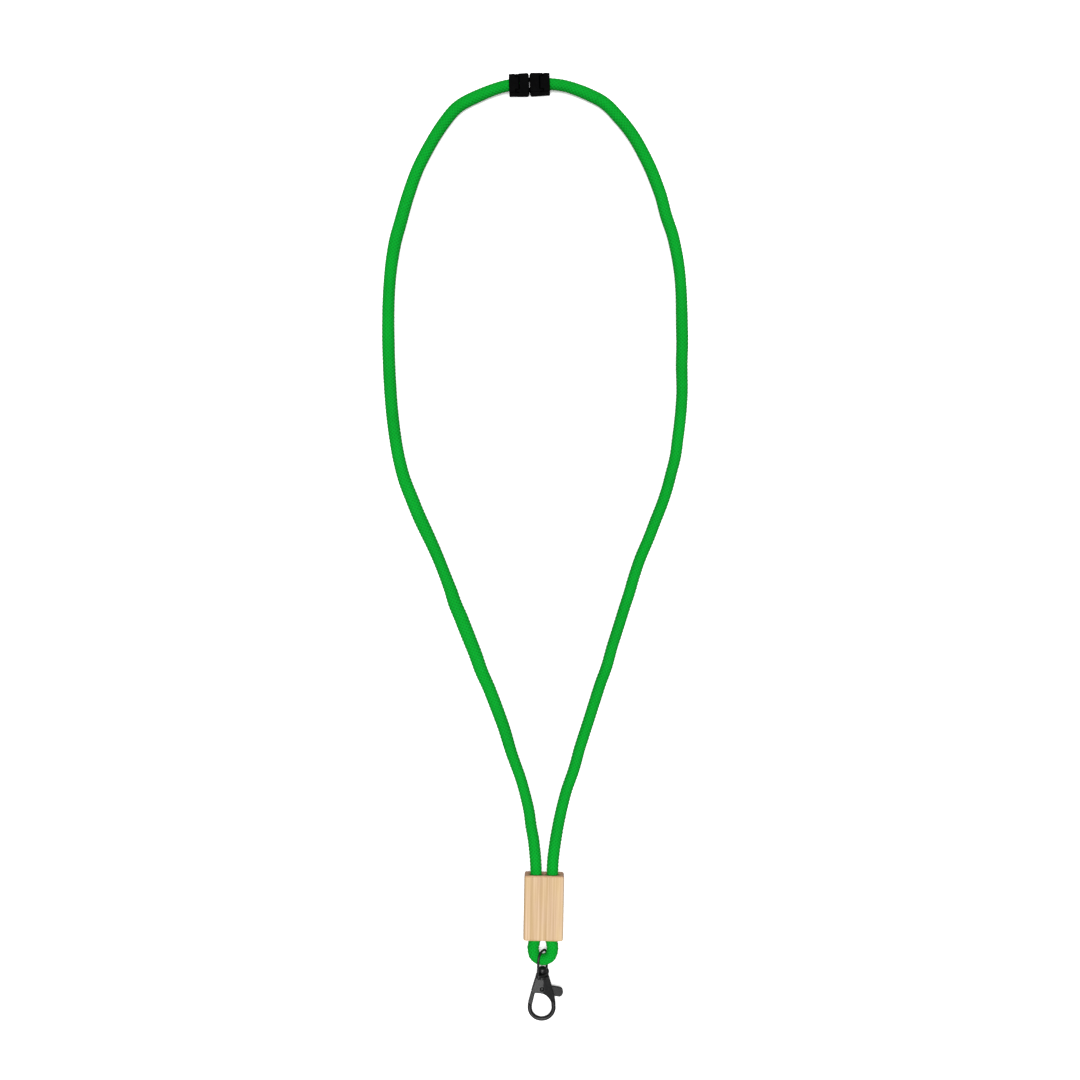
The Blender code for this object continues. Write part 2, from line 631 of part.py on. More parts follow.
def build_gate(frame):
    location = (0.0, PIN_Y, 0.0)
    half = 0.5 * GATE_THICKNESS
    gate = plate("lever", gate_outline(), -half, half, frame, location)
    round_edges(gate, GATE_EDGE, 2, angle=60.0)
    cut(gate, rod("hub_hole", PIN_HOLE, (0.0, 0.0, -PAST), (0.0, 0.0, PAST), SMALL_SIDES,
                  frame, location))
    cut(gate, rod("spring_pocket", POCKET_RADIUS, (0.0, 0.0, -PAST), (0.0, 0.0, 0.0),
                  ROUND_SIDES, frame, location))
    notch = 0.5 * LEG_NOTCH_WIDTH
    cut(gate, box("leg_notch", (SPRING_RADIUS - notch, 0.0, -PAST),
                  (SPRING_RADIUS + notch, PAST, 0.0), frame, location))
    finish(gate, "gate_lever", gunmetal)


def build_pin(frame):
    pin = rod("pin", PIN_RADIUS, (0.0, 0.0, -PIN_HALF_LENGTH), (0.0, 0.0, PIN_HALF_LENGTH),
              SMALL_SIDES, frame, (0.0, PIN_Y, 0.0))
    round_edges(pin, PIN_EDGE, 2)
    finish(pin, "gate_pin", gunmetal)


def build_spring(frame):
    """A torsion spring in the lever's pocket, one leg reaching up to the neck."""
    steps = 14
    points = []
    for i in range(SPRING_TURNS * steps + 1):
        angle = 2.0 * math.pi * i / steps
        height = SPRING_BOTTOM + SPRING_PITCH * i / steps
        points.append((SPRING_RADIUS * math.cos(angle), SPRING_RADIUS * math.sin(angle), height))
    top = points[-1][2]
    leg = [(SPRING_RADIUS, SPRING_LEG, top), (SPRING_RADIUS, SPRING_BEND, top)]
    spring = wire("spring", leg + points[::-1], SPRING_WIRE, 2, frame, (0.0, PIN_Y, 0.0))
    finish(spring, "gate_spring", spring_steel)


def build_hook():
    hook = new_frame("hook_frame", SWING_CENTRE, (HOOK_TILT, 0.0, 0.0))
    build_eye(hook)
    build_rivet(hook)
    build_hook_body(hook)
    build_gate(hook)
    build_pin(hook)
    build_spring(hook)


clear_scene()
parts = new_collection("lanyard_badge_holder")
cutters = new_collection("cutters")
green_braid = new_material("green_braid", (0.012, 0.36, 0.035), 0.85)
bamboo = new_material("bamboo", (0.75, 0.52, 0.29), 0.55)
black_plastic = new_material("black_plastic", (0.012, 0.012, 0.013), 0.5)
gunmetal = new_material("gunmetal", (0.055, 0.055, 0.06), 0.38, 0.9)
spring_steel = new_material("spring_steel", (0.45, 0.45, 0.46), 0.3, 1.0)

build_cord()
build_block()
build_clasp()
build_hook()
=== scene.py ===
"""Lanyard badge holder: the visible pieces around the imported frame.

Metres, +Z up, in the frame of the CAD.  The lanyard lies on the table at z = 0 with
its bamboo block at the origin, and +Y runs up the block towards the clasp.
"""
import math

import bmesh
import bpy
import numpy as np
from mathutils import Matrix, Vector


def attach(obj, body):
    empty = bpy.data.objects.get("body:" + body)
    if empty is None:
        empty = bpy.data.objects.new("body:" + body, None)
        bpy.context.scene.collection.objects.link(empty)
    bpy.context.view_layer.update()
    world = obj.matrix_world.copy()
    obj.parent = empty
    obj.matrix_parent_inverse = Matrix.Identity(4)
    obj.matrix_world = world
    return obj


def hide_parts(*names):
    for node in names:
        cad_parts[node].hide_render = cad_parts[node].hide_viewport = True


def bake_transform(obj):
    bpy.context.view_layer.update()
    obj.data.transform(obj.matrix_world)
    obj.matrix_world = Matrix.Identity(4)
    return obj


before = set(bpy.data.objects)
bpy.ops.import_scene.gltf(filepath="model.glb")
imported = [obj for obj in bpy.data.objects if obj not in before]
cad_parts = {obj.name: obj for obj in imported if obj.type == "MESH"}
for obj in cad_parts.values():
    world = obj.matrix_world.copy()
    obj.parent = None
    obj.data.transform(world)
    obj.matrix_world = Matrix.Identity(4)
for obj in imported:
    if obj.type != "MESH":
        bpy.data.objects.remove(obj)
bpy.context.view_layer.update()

# --- Camera and light ---------------------------------------------------------------
CAMERA_PLACE = (-0.0053, 0.1815, 0.7500)
CAMERA_ROLL = math.radians(1.1)
CAMERA_LENS = 50.0                      # millimetres
CAMERA_SENSOR = 36.0                    # millimetres
CAMERA_NEAR = 0.01
FLOOR_SIZE = 12.0
FLOOR_GLOW = 0.35                       # keeps the floor pale in the object's shadow
AMBIENT_STRENGTH = 0.26
TOP_LIGHT_STRENGTH = 2.8
TOP_LIGHT_SPREAD = math.radians(25.0)
TOP_LIGHT_LEAN = math.radians(2.0)

# Small soft lights: name, place, the point each one faces, width and power in watts.
SOFT_LIGHTS = [
    ("back_light", (0.0, 0.42, 0.75), (0.0, 0.05, 0.0), 0.40, 1.00),
    ("front_light", (-0.12, -0.40, 0.50), (0.0, -0.045, 0.0), 0.23, 0.75),
]

# --- Braided cord ---------------------------------------------------------------------
CORD_RADIUS = 0.0030
ROUTE_PIECES = 24                       # short pieces between two points of the route
END_STRETCH = 0.0300                    # cord that follows the plug half of the clasp
FLATTENING = 0.5                        # height lost for each share of width gained
CROWDING_LIMIT = 0.82                   # share of a bend's radius that its inner side takes
RIPPLE_SIZE = 0.012                     # how much the radius varies, as a share of it
RIPPLE_WAVES = [(0.043, 0.45), (0.071, 0.35), (0.019, 0.20)]    # length and share of each
BRAID_STRANDS = 8                       # strands that wind each way round
BRAID_PITCH = 0.00187                   # from one strand to the next along the cord
BRAID_COLUMNS = 6 * BRAID_STRANDS       # points round the cord
BRAID_ROWS = 4                          # rows of points per pitch
BRAID_LIFT = 0.55                       # how far a strand rises over the one it crosses
BRAID_DEPTH = 0.00075                   # of the hollows between the strands
FILAMENTS = 11.0                        # fine filaments across one strand

# Small sideways kinks left in the cord: where along it, how far each one reaches to both
# sides of that place, and how far it shifts the cord.
KINKS = [
    (0.033, 0.010, 0.0002),
    (0.058, 0.016, -0.0002),
    (0.098, 0.013, -0.0003),
    (0.237, 0.013, -0.0003),
    (0.294, 0.008, 0.0003),
    (0.330, 0.011, 0.0004),
    (0.374, 0.015, 0.0005),
    (0.411, 0.008, 0.0003),
    (0.578, 0.013, 0.0005),
    (0.632, 0.011, 0.0004),
    (0.670, 0.010, 0.0002),
    (0.698, 0.012, 0.0003),
    (0.742, 0.010, 0.0003),
    (0.787, 0.014, -0.0004),
    (0.863, 0.012, -0.0006),
    (0.897, 0.012, -0.0002),
    (0.927, 0.010, 0.0004),
]

# How wide the soft cord lies from place to place, as (distance along it, share of its
# diameter).  It is round in the clasp and in the block, and flattest on the left side.
WIDTHS = [
    (0.000, 1.00),
    (0.010, 1.01),
    (0.025, 1.08),
    (0.060, 1.05),
    (0.100, 1.12),
    (0.130, 1.05),
    (0.170, 1.09),
    (0.200, 1.06),
    (0.248, 1.15),
    (0.275, 1.03),
    (0.302, 1.22),
    (0.342, 1.10),
    (0.392, 0.95),
    (0.435, 1.00),
    (0.530, 1.00),
    (0.570, 0.98),
    (0.760, 0.99),
    (0.808, 1.04),
    (0.828, 0.98),
    (0.865, 1.06),
    (0.935, 1.08),
    (0.951, 1.00),
    (0.963, 0.98),
]

# The route is the CAD cord's: from its end in the socket half of the clasp, down the
# left side, through the block, round the eye, back and up to the plug half.
CORD_ROUTE = [
    (-0.0199, 0.40735, 0.0043),
    (-0.0260, 0.4070, 0.0043),
    (-0.0385, 0.4028, 0.0034),
    (-0.0502, 0.3962, 0.0031),
    (-0.0588, 0.3858, 0.0031),
    (-0.0682, 0.3688, 0.0031),
    (-0.0751, 0.3490, 0.0031),
    (-0.0806, 0.3270, 0.0031),
    (-0.0830, 0.2980, 0.0031),
    (-0.0797, 0.2400, 0.0031),
    (-0.0730, 0.2090, 0.0031),
    (-0.0556, 0.1710, 0.0031),
    (-0.0439, 0.1420, 0.0031),
    (-0.0216, 0.0880, 0.0031),
    (-0.0090, 0.0500, 0.0035),
    (-0.0047, 0.0250, 0.0053),
    (-0.0040, 0.0140, 0.0060),
    (-0.0040, -0.0158, 0.0060),
    (-0.0048, -0.0210, 0.0060),
    (-0.0036, -0.0249, 0.0060),
    (0.0000, -0.0264, 0.0060),
    (0.0036, -0.0249, 0.0060),
    (0.0048, -0.0210, 0.0060),
    (0.0040, -0.0158, 0.0060),
    (0.0040, 0.0140, 0.0060),
    (0.0044, 0.0250, 0.0053),
    (0.0085, 0.0500, 0.0035),
    (0.0215, 0.0950, 0.0031),
    (0.0343, 0.1380, 0.0031),
    (0.0443, 0.1720, 0.0031),
    (0.0577, 0.2090, 0.0031),
    (0.0635, 0.2450, 0.0031),
    (0.0634, 0.2880, 0.0031),
    (0.0609, 0.3210, 0.0031),
    (0.0513, 0.3550, 0.0031),
    (0.0384, 0.3820, 0.0031),
    (0.0215, 0.4000, 0.0031),
    (0.0053, 0.4070, 0.0036),
    (-0.0038, 0.4082, 0.0043),
    (-0.0099, 0.40785, 0.0043),
]

# --- Finer pieces -----------------------------------------------------------------------
# Node, body, material slot, size of the remesh's voxels and rounds of smoothing: cast
# metal gets rounder edges than moulded plastic.
FINE_PIECES = [
    ("clasp_socket_body", "cord_and_socket", "black_plastic", 0.00013, 4),
    ("clasp_plug_body", "plug", "black_plastic", 0.00013, 4),
    ("clasp_socket_lid", "socket_lid", "black_plastic", 0.00010, 4),
    ("clasp_plug_lid", "plug_lid", "black_plastic", 0.00010, 4),
    ("hook_body", "hook", "gunmetal", 0.00010, 16),
    ("gate_lever", "gate", "gunmetal", 0.00009, 12),
    ("swivel_eye", "eye", "gunmetal", 0.00010, 4),
    ("swivel_rivet", "hook", "gunmetal", 0.00008, 5),
    ("gate_pin", "hook", "gunmetal", 0.00006, 4),
    ("bamboo_block", "block", "bamboo", 0.00022, 4),
]


# --- Stage ----------------------------------------------------------------------------
def add_camera():
    camera = bpy.data.objects.new("camera", bpy.data.cameras.new("camera"))
    bpy.context.scene.collection.objects.link(camera)
    camera.data.lens = CAMERA_LENS
    camera.data.sensor_width = CAMERA_SENSOR
    camera.data.clip_start = CAMERA_NEAR
    camera.location = CAMERA_PLACE
    camera.rotation_euler = (0.0, 0.0, CAMERA_ROLL)
    bpy.context.scene.camera = camera


def add_area_light(name, place, target, size, power):
    light = bpy.data.objects.new(name, bpy.data.lights.new(name, "AREA"))
    bpy.context.scene.collection.objects.link(light)
    light.data.shape = "DISK"
    light.data.size = size
    light.data.energy = power
    light.location = place
    light.rotation_euler = (Vector(target) - Vector(place)).to_track_quat("-Z", "Y").to_euler()


def add_top_light():
    """The main light: a wide soft source high overhead, leaning towards the clasp."""
    light = bpy.data.objects.new("top_light", bpy.data.lights.new("top_light", "SUN"))
    bpy.context.scene.collection.objects.link(light)
    light.data.energy = TOP_LIGHT_STRENGTH
    light.data.angle = TOP_LIGHT_SPREAD
    light.rotation_euler = (-TOP_LIGHT_LEAN, 0.0, 0.0)


def add_world():
    """A dim even surround for the light, and a white one where the camera sees past the floor."""
    world = bpy.data.worlds.new("studio")
    world.use_nodes = True
    tree = world.node_tree
    dim = tree.nodes["Background"]
    dim.inputs["Color"].default_value = (1.0, 1.0, 1.0, 1.0)
    dim.inputs["Strength"].default_value = AMBIENT_STRENGTH
    white = tree.nodes.new("ShaderNodeBackground")
    white.inputs["Color"].default_value = (1.0, 1.0, 1.0, 1.0)
    seen = tree.nodes.new("ShaderNodeLightPath").outputs["Is Camera Ray"]
    mixed = tree.nodes.new("ShaderNodeMixShader")
    tree.links.new(seen, mixed.inputs[0])
    tree.links.new(dim.outputs[0], mixed.inputs[1])
    tree.links.new(white.outputs[0], mixed.inputs[2])
    tree.links.new(mixed.outputs[0], tree.nodes["World Output"].inputs["Surface"])
    bpy.context.scene.world = world


def add_floor():
    """A pale floor that throws no light back onto the object."""
    mesh = bpy.data.meshes.new("floor")
    bm = bmesh.new()
    bmesh.ops.create_grid(bm, x_segments=1, y_segments=1, size=0.5 * FLOOR_SIZE)
    bm.to_mesh(mesh)
    bm.free()
    floor = bpy.data.objects.new("floor", mesh)
    bpy.context.scene.collection.objects.link(floor)
    floor.data.materials.append(floor_material())
    floor.visible_diffuse = False
    floor.visible_glossy = False


def add_stage():
    bpy.context.scene.view_settings.view_transform = "Standard"
    add_world()
    add_top_light()
    for light in SOFT_LIGHTS:
        add_area_light(*light)
    add_floor()


# --- Node helpers ------------------------------------------------------------------------
def new_material(name, colour, roughness, metallic=0.0):
    """A Principled material and its shader node.

    The plain colour and roughness stand where a material links nothing to them.
    """
    material = bpy.data.materials.new(name)
    material.use_nodes = True
    shader = material.node_tree.nodes["Principled BSDF"]
    shader.inputs["Base Color"].default_value = (*colour, 1.0)
    shader.inputs["Roughness"].default_value = roughness
    shader.inputs["Metallic"].default_value = metallic
    return material, shader


def plug_in(tree, socket, value):
    """Set a socket to a number or link it to another node's output."""
    if isinstance(value, (int, float)):
        socket.default_value = value
    else:
        tree.links.new(value, socket)


def maths(tree, operation, *values):
    node = tree.nodes.new("ShaderNodeMath")
    node.operation = operation
    for socket, value in zip(node.inputs, values):
        plug_in(tree, socket, value)
    return node.outputs[0]


def combine(tree, x, y, z):
    node = tree.nodes.new("ShaderNodeCombineXYZ")
    for socket, value in zip(node.inputs, (x, y, z)):
        plug_in(tree, socket, value)
    return node.outputs[0]


def split(tree, vector):
    node = tree.nodes.new("ShaderNodeSeparateXYZ")
    tree.links.new(vector, node.inputs[0])
    return node.outputs


def noise(tree, vector, scale, detail=2.0, roughness=0.5):
    node = tree.nodes.new("ShaderNodeTexNoise")
    tree.links.new(vector, node.inputs["Vector"])
    node.inputs["Scale"].default_value = scale
    node.inputs["Detail"].default_value = detail
    node.inputs["Roughness"].default_value = roughness
    return node.outputs["Fac"]


def ramp(tree, factor, stops):
    """A colour ramp with (position, colour) stops."""
    node = tree.nodes.new("ShaderNodeValToRGB")
    tree.links.new(factor, node.inputs[0])
    elements = node.color_ramp.elements
    while len(elements) < len(stops):
        elements.new(0.5)
    for element, (position, colour) in zip(elements, stops):
        element.position = position
        element.color = (*colour, 1.0)
    return node.outputs[0]


def rescale(tree, value, low, high, new_low, new_high):
    node = tree.nodes.new("ShaderNodeMapRange")
    tree.links.new(value, node.inputs[0])
    for socket, number in zip(node.inputs[1:5], (low, high, new_low, new_high)):
        socket.default_value = number
    return node.outputs[0]


def mix_colours(tree, blend_type, factor, first, second):
    node = tree.nodes.new("ShaderNodeMix")
    node.data_type = "RGBA"
    node.blend_type = blend_type
    plug_in(tree, node.inputs[0], factor)
    tree.links.new(first, node.inputs[6])
    if isinstance(second, tuple):
        node.inputs[7].default_value = (*second, 1.0)
    else:
        tree.links.new(second, node.inputs[7])
    return node.outputs[2]


def grey(tree, value):
    """A number as a grey colour."""
    return combine(tree, value, value, value)


def bump(tree, height, strength, distance, normal=None):
    node = tree.nodes.new("ShaderNodeBump")
    node.inputs["Strength"].default_value = strength
    node.inputs["Distance"].default_value = distance
    tree.links.new(height, node.inputs["Height"])
    if normal is not None:
        tree.links.new(normal, node.inputs["Normal"])
    return node.outputs[0]


def object_place(tree):
    return tree.nodes.new("ShaderNodeTexCoord").outputs["Object"]


# --- Materials ----------------------------------------------------------------------------
def floor_material():
    material, shader = new_material("pale_floor", (0.96, 0.96, 0.96), 0.7)
    tree = material.node_tree
    tone = rescale(tree, noise(tree, object_place(tree), 3.0), 0.3, 0.7, 0.955, 0.965)
    tree.links.new(grey(tree, tone), shader.inputs["Base Color"])
    shader.inputs["Emission Color"].default_value = (1.0, 1.0, 1.0, 1.0)
    shader.inputs["Emission Strength"].default_value = FLOOR_GLOW
    return material


def strand_height(tree, across, along, lift):
    """Height of the strands that are counted by one coordinate, and cross the other's."""
    number = maths(tree, "ROUND", across)
    offset = maths(tree, "MULTIPLY", maths(tree, "SUBTRACT", across, number), 2.0)
    drop = maths(tree, "MULTIPLY", offset, offset)
    dome = maths(tree, "SQRT", maths(tree, "MAXIMUM", maths(tree, "SUBTRACT", 1.0, drop), 0.0))
    phase = maths(tree, "MULTIPLY", maths(tree, "ADD", along, number), math.pi)
    return maths(tree, "ADD", dome, maths(tree, "MULTIPLY", maths(tree, "COSINE", phase), lift))


def braid_material():
    """Green polyester braid: strands that cross over and under, each of fine filaments, with
    painted shade darkening the hollows between the strands.
    """
    material, shader = new_material("green_braid_fibre", (0.012, 0.36, 0.035), 0.78)
    tree = material.node_tree
    shader.inputs["Sheen Weight"].default_value = 0.02
    shader.inputs["Sheen Roughness"].default_value = 0.5
    shader.inputs["Specular IOR Level"].default_value = 0.07
    uv = tree.nodes.new("ShaderNodeUVMap")
    uv.uv_map = "braid"
    a, b, _ = split(tree, uv.outputs[0])
    height_a = strand_height(tree, a, b, BRAID_LIFT)
    height_b = strand_height(tree, b, a, -BRAID_LIFT)
    top = maths(tree, "MAXIMUM", height_a, height_b)
    on_a = maths(tree, "GREATER_THAN", height_a, height_b)
    on_b = maths(tree, "SUBTRACT", 1.0, on_a)
    across = maths(tree, "ADD", maths(tree, "MULTIPLY", a, on_a),
                   maths(tree, "MULTIPLY", b, on_b))
    along = maths(tree, "ADD", maths(tree, "MULTIPLY", b, on_a),
                  maths(tree, "MULTIPLY", a, on_b))
    fibre_place = combine(tree, maths(tree, "MULTIPLY", across, FILAMENTS),
                          maths(tree, "MULTIPLY", along, 0.9), on_a)
    filaments = noise(tree, fibre_place, 1.0, 3.0, 0.6)
    worn = noise(tree, object_place(tree), 55.0, 3.0)
    # painted shade: the colour darkens in the hollows between the strands, where the strand
    # height is low
    shade = rescale(tree, top, 0.15, 0.95, 0.20, 1.02)
    green = ramp(tree, filaments, [(0.30, (0.0002, 0.272, 0.011)),
                                   (0.52, (0.0006, 0.318, 0.021)),
                                   (0.74, (0.0060, 0.362, 0.048))])
    wear = rescale(tree, worn, 0.3, 0.7, 0.93, 1.05)
    green = mix_colours(tree, "MULTIPLY", 1.0, green, grey(tree, shade))
    green = mix_colours(tree, "MULTIPLY", 1.0, green, grey(tree, wear))
    tree.links.new(green, shader.inputs["Base Color"])
    coarse = bump(tree, top, 0.4, 0.5 * BRAID_DEPTH)
    fine = bump(tree, filaments, 0.5, 0.00006, coarse)
    tree.links.new(fine, shader.inputs["Normal"])
    return material


def bamboo_material():
    """Pale bamboo: laminated strips with lengthways fibres, and dotted end grain."""
    material, shader = new_material("bamboo_fibre", (0.75, 0.52, 0.29), 0.55)
    shader.inputs["Specular IOR Level"].default_value = 0.35
    tree = material.node_tree
    place = object_place(tree)
    x, y, z = split(tree, place)
    strip_place = combine(tree, x, maths(tree, "MULTIPLY", y, 0.010),
                          maths(tree, "MULTIPLY", z, 0.5))
    fibre_place = combine(tree, x, maths(tree, "MULTIPLY", y, 0.012), z)
    blush_place = combine(tree, x, maths(tree, "MULTIPLY", y, 0.3), z)
    strips = noise(tree, strip_place, 620.0, 2.0, 0.6)
    fibres = noise(tree, fibre_place, 2600.0, 3.0, 0.65)
    blush = noise(tree, blush_place, 190.0, 2.0)
    body = ramp(tree, strips, [(0.32, (0.420, 0.282, 0.136)),
                               (0.44, (0.480, 0.327, 0.172)),
                               (0.54, (0.530, 0.371, 0.214)),
                               (0.68, (0.595, 0.435, 0.259))])
    tint = ramp(tree, blush, [(0.36, (1.0, 0.985, 0.90)),
                              (0.62, (1.01, 0.985, 1.05))])
    streaks = ramp(tree, fibres, [(0.32, (0.86, 0.79, 0.70)),
                                  (0.50, (1.0, 1.0, 1.0)),
                                  (0.75, (1.04, 1.04, 1.01))])
    face = mix_colours(tree, "MULTIPLY", 1.0, body, tint)
    face = mix_colours(tree, "MULTIPLY", 0.75, face, streaks)
    cells = tree.nodes.new("ShaderNodeTexVoronoi")
    cells.inputs["Scale"].default_value = 2300.0
    tree.links.new(combine(tree, x, 0.0, z), cells.inputs["Vector"])
    pores = ramp(tree, cells.outputs["Distance"], [(0.16, (0.56, 0.24, 0.14)),
                                                   (0.34, (0.95, 0.49, 0.30)),
                                                   (0.60, (0.98, 0.58, 0.38))])
    facing_y = split(tree, tree.nodes.new("ShaderNodeTexCoord").outputs["Normal"])[1]
    end_grain = rescale(tree, maths(tree, "ABSOLUTE", facing_y), 0.55, 0.85, 0.0, 1.0)
    colour = mix_colours(tree, "MIX", end_grain, face, pores)
    tree.links.new(colour, shader.inputs["Base Color"])
    tree.links.new(rescale(tree, fibres, 0.3, 0.7, 0.62, 0.46), shader.inputs["Roughness"])
    tree.links.new(bump(tree, fibres, 0.35, 0.00005), shader.inputs["Normal"])
    return material


def plastic_material():
    """Black moulded plastic with a fine spark-eroded grain."""
    material, shader = new_material("black_moulded", (0.0008, 0.0008, 0.0009), 0.60)
    shader.inputs["Specular IOR Level"].default_value = 0.02
    tree = material.node_tree
    place = object_place(tree)
    grain = noise(tree, place, 5200.0, 3.0, 0.6)
    cloud = noise(tree, place, 420.0, 3.0)
    colour = ramp(tree, cloud, [(0.3, (0.0006, 0.0006, 0.0007)),
                                (0.7, (0.0010, 0.0010, 0.0011))])
    tree.links.new(colour, shader.inputs["Base Color"])
    tree.links.new(rescale(tree, cloud, 0.3, 0.7, 0.54, 0.66), shader.inputs["Roughness"])
    tree.links.new(bump(tree, grain, 0.35, 0.00003), shader.inputs["Normal"])
    return material


def gunmetal_material():
    """Die-cast zinc under a dark gunmetal plating, duller along the edges, where painted shade
    also makes it blacker.
    """
    material, shader = new_material("gunmetal_plating", (0.0035, 0.0035, 0.004), 0.34)
    shader.inputs["Specular IOR Level"].default_value = 0.42
    tree = material.node_tree
    place = object_place(tree)
    cloud = noise(tree, place, 900.0, 4.0, 0.6)
    grain = noise(tree, place, 4200.0, 2.0)
    sharp = tree.nodes.new("ShaderNodeNewGeometry").outputs["Pointiness"]
    edge = rescale(tree, sharp, 0.505, 0.53, 0.0, 1.0)
    dark = ramp(tree, cloud, [(0.3, (0.0025, 0.0025, 0.0030)),
                              (0.7, (0.0050, 0.0050, 0.0056))])
    # painted shade: the colour turns blacker along the sharp edges
    painted_edge_shade = maths(tree, "MULTIPLY", edge, 0.6)
    colour = mix_colours(tree, "MIX", painted_edge_shade, dark, (0.0015, 0.0015, 0.0016))
    tree.links.new(colour, shader.inputs["Base Color"])
    satin = rescale(tree, cloud, 0.3, 0.7, 0.30, 0.37)
    dull = maths(tree, "MULTIPLY", edge, 0.40)
    tree.links.new(maths(tree, "ADD", satin, dull), shader.inputs["Roughness"])
    tree.links.new(bump(tree, grain, 0.25, 0.00002), shader.inputs["Normal"])
    return material


def spring_material():
    """Bright drawn steel wire."""
    material, shader = new_material("spring_wire", (0.42, 0.42, 0.43), 0.28, 1.0)
    tree = material.node_tree
    drawn = noise(tree, object_place(tree), 6000.0, 2.0)
    tree.links.new(rescale(tree, drawn, 0.3, 0.7, 0.22, 0.38), shader.inputs["Roughness"])
    return material


# --- Cord ---------------------------------------------------------------------------------
def smooth_curve(route, pieces):
    """Points on a centripetal Catmull-Rom curve through the route's points."""
    points = [Vector(point) for point in route]
    points = [2.0 * points[0] - points[1]] + points + [2.0 * points[-1] - points[-2]]
    curve = []
    for a, b, c, d in zip(points, points[1:], points[2:], points[3:]):
        t1 = math.sqrt((b - a).length)
        t2 = t1 + math.sqrt((c - b).length)
        t3 = t2 + math.sqrt((d - c).length)
        for i in range(pieces):
            t = t1 + (t2 - t1) * i / pieces
            ab = a.lerp(b, t / t1)
            bc = b.lerp(c, (t - t1) / (t2 - t1))
            cd = c.lerp(d, (t - t2) / (t3 - t2))
            abc = ab.lerp(bc, t / t2)
            bcd = bc.lerp(cd, (t - t1) / (t3 - t1))
            curve.append(abc.lerp(bcd, (t - t1) / (t2 - t1)))
    return curve + [points[-2]]


def even_steps(curve, step):
    """Points a fixed step apart along a fine curve, and how far along each one is."""
    points = np.array([tuple(point) for point in curve])
    lengths = np.linalg.norm(np.diff(points, axis=0), axis=1)
    reached = np.concatenate([[0.0], np.cumsum(lengths)])
    along = np.arange(0.0, reached[-1], step)
    even = np.stack([np.interp(along, reached, points[:, k]) for k in range(3)], axis=1)
    return even, along


def ripple(along):
    """A slow, irregular wave between about -1 and 1 along the cord."""
    wave = np.zeros_like(along)
    for length, size in RIPPLE_WAVES:
        start = 0.37 + 31.0 * length
        wave += size * np.sin(2.0 * math.pi * (along / length + start))
    return wave


def kink(along, middle, spread, size):
    """A smooth bump of the given size, zero beyond spread on both sides."""
    reach = np.clip((along - middle) / spread, -1.0, 1.0)
    return 0.5 * size * (1.0 + np.cos(math.pi * reach))


def width_at(along):
    """The cord's width along it, eased between the places in WIDTHS."""
    places, widths = (np.array(column) for column in zip(*WIDTHS))
    number = np.clip(np.searchsorted(places, along, side="right") - 1, 0, len(places) - 2)
    part = (along - places[number]) / (places[number + 1] - places[number])
    eased = 0.5 - 0.5 * np.cos(math.pi * np.clip(part, 0.0, 1.0))
    return widths[number] + (widths[number + 1] - widths[number]) * eased


def lie_loosely(centres, along):
    """Shift the centres by the kinks, and down where the cord is flattened."""
    tangents = np.gradient(centres, along, axis=0)
    side = np.cross((0.0, 0.0, 1.0), tangents)
    side /= np.linalg.norm(side, axis=1, keepdims=True)
    shift = sum(kink(along, *bend) for bend in KINKS)
    shifted = centres - side * shift[:, None]
    shifted[:, 2] -= CORD_RADIUS * FLATTENING * np.maximum(width_at(along) - 1.0, 0.0)
    return shifted


def braid_height(a, b):
    """Height of the braid's surface, from 0 to 1, where strands a and b cross."""
    heights = []
    for across, along, other, sign in ((a, b, b, 1.0), (b, a, a, -1.0)):
        number = np.round(across)
        dome = np.sqrt(np.maximum(0.0, 1.0 - (2.0 * (across - number)) ** 2))
        heights.append(dome + sign * BRAID_LIFT * np.cos(math.pi * (other + number)))
    return np.maximum(*heights) / (1.0 + BRAID_LIFT)


def tube_faces(rows, columns):
    """Quads round a tube, row after row, and the two faces that close its ends."""
    row = np.arange(rows - 1)[:, None] * columns
    column = np.arange(columns)[None, :]
    after = (column + 1) % columns
    quads = np.stack([row + column, row + after, row + columns + after, row + columns + column],
                     axis=2).reshape(-1, 4)
    first_cap = list(range(columns))[::-1]
    last_cap = list(range((rows - 1) * columns, rows * columns))
    return quads.tolist() + [first_cap, last_cap]


def strand_corners(a, b):
    """The strand coordinates at the corners of a tube's faces; its end faces have none."""
    strands = np.stack([a, b], axis=2)
    corners = np.stack([strands[:-1, :-1], strands[:-1, 1:], strands[1:, 1:], strands[1:, :-1]],
                       axis=2).reshape(-1, 2)
    ends = np.zeros((2 * BRAID_COLUMNS, 2))
    return np.concatenate([corners, ends]).astype(np.float32).ravel()


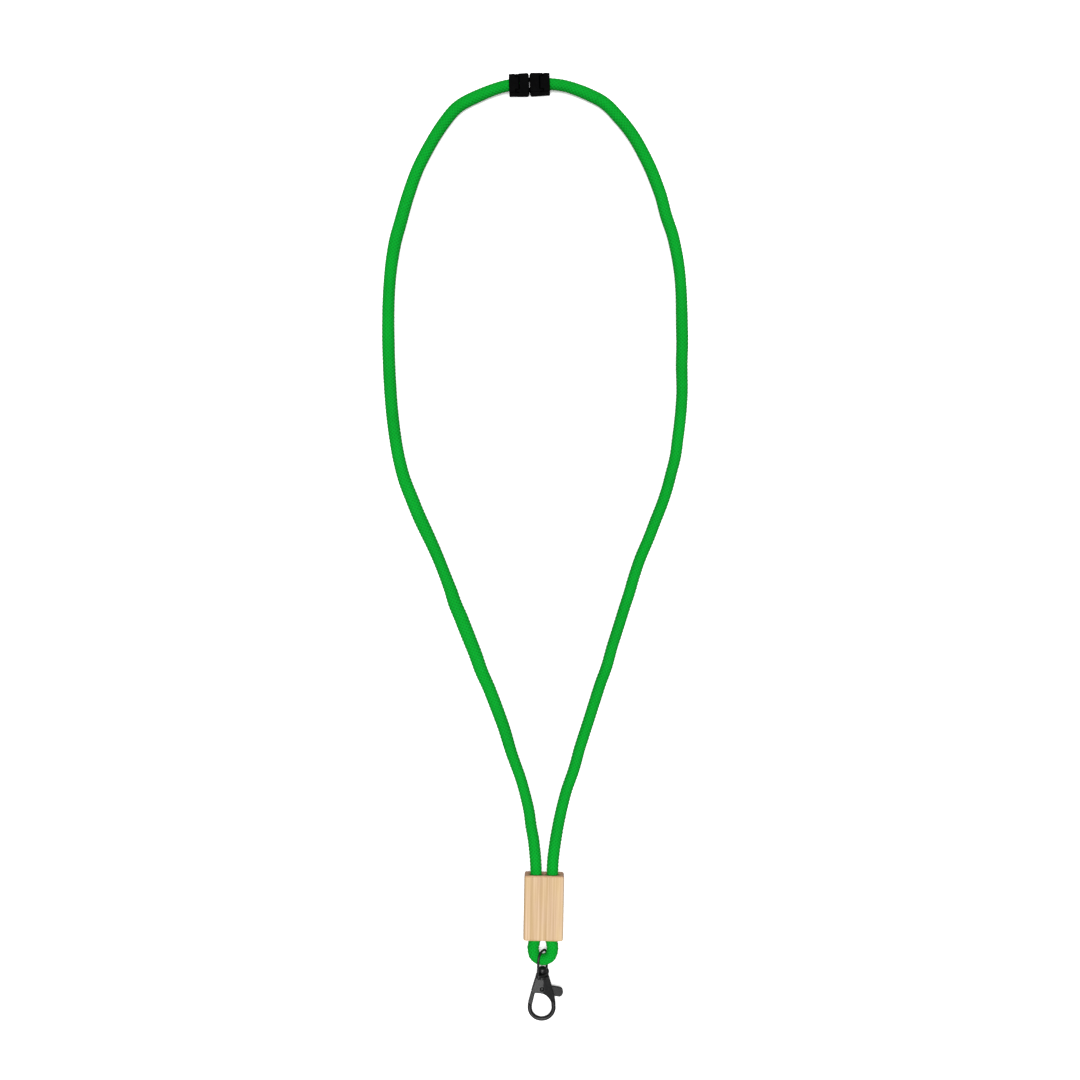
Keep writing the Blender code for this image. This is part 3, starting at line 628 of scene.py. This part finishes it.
def braided_tube(name, centres, along, stretch):
    """A closed mesh tube over one stretch of the cord, with the braid's strands raised on it."""
    tangents = np.gradient(centres, along, axis=0)
    tangents /= np.linalg.norm(tangents, axis=1, keepdims=True)
    bend = np.gradient(tangents, along, axis=0)
    centres, along, tangents, bend = (row[stretch] for row in (centres, along, tangents, bend))
    side = np.cross((0.0, 0.0, 1.0), tangents)
    side /= np.linalg.norm(side, axis=1, keepdims=True)
    up = np.cross(tangents, side)
    turn = np.arange(BRAID_COLUMNS + 1) / BRAID_COLUMNS
    angle = 2.0 * math.pi * turn[:-1]
    a = BRAID_STRANDS * turn[None, :] + along[:, None] / BRAID_PITCH
    b = BRAID_STRANDS * turn[None, :] - along[:, None] / BRAID_PITCH
    width = width_at(along)
    height = 1.0 - FLATTENING * (width - 1.0)
    surface = 1.0 + RIPPLE_SIZE * ripple(along)[:, None]
    radius = CORD_RADIUS * surface - BRAID_DEPTH * (1.0 - braid_height(a, b)[:, :-1])
    out = (side[:, None, :] * np.cos(angle)[None, :, None] * width[:, None, None]
           + up[:, None, :] * np.sin(angle)[None, :, None] * height[:, None, None])
    crowding = np.sum(out * bend[:, None, :], axis=2) * radius
    radius = radius / np.maximum(1.0, crowding / CROWDING_LIMIT)
    points = centres[:, None, :] + out * radius[:, :, None]
    mesh = bpy.data.meshes.new(name)
    mesh.from_pydata(points.reshape(-1, 3).tolist(), [], tube_faces(len(centres), BRAID_COLUMNS))
    layer = mesh.uv_layers.new(name="braid")
    layer.data.foreach_set("uv", strand_corners(a, b))
    mesh.shade_smooth()
    for cap in mesh.polygons[-2:]:
        cap.use_smooth = False
    tube = bpy.data.objects.new(name, mesh)
    bpy.context.scene.collection.objects.link(tube)
    return tube


def add_cord():
    """The braided cord, in one long piece and a short one that follows the plug half."""
    curve = smooth_curve(CORD_ROUTE, ROUTE_PIECES)
    centres, along = even_steps(curve, BRAID_PITCH / BRAID_ROWS)
    centres = lie_loosely(centres, along)
    length = float(along[-1])
    seam = int(np.searchsorted(along, length - END_STRETCH))
    material = braid_material()
    main = braided_tube("braided_cord", centres, along, slice(0, seam + 1))
    end = braided_tube("braided_cord_at_plug", centres, along, slice(seam, None))
    for piece in (main, end):
        piece.data.materials.append(material)
        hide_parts("cord")
    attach(main, "cord_and_socket")
    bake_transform(end)


# --- Finer pieces made from the CAD solids --------------------------------------------------
def refined(node, body, material, voxel, rounding):
    """A copy of a CAD solid, remeshed finely and with its edges softened."""
    piece = bpy.data.objects.new(node + "_fine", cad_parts[node].data.copy())
    bpy.context.scene.collection.objects.link(piece)
    remesh = piece.modifiers.new("Remesh", "REMESH")
    remesh.mode = "VOXEL"
    remesh.voxel_size = voxel
    smooth = piece.modifiers.new("Smooth", "SMOOTH")
    smooth.factor = 0.5
    smooth.iterations = rounding
    evaluated = piece.evaluated_get(bpy.context.evaluated_depsgraph_get())
    mesh = bpy.data.meshes.new_from_object(evaluated)
    piece.modifiers.clear()
    piece.data = mesh
    mesh.materials.clear()
    mesh.materials.append(material)
    mesh.shade_smooth()
    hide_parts(node)
    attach(piece, body)


def add_fine_pieces():
    materials = {
        "black_plastic": plastic_material(),
        "gunmetal": gunmetal_material(),
        "bamboo": bamboo_material(),
    }
    for node, body, slot, voxel, rounding in FINE_PIECES:
        refined(node, body, materials[slot], voxel, rounding)


def colour_spring():
    """The CAD spring is fine enough as it is, so it only gets its material."""
    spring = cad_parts["gate_spring"]
    spring.data.materials.clear()
    spring.data.materials.append(spring_material())


add_camera()
add_stage()
add_cord()
add_fine_pieces()
colour_spring()
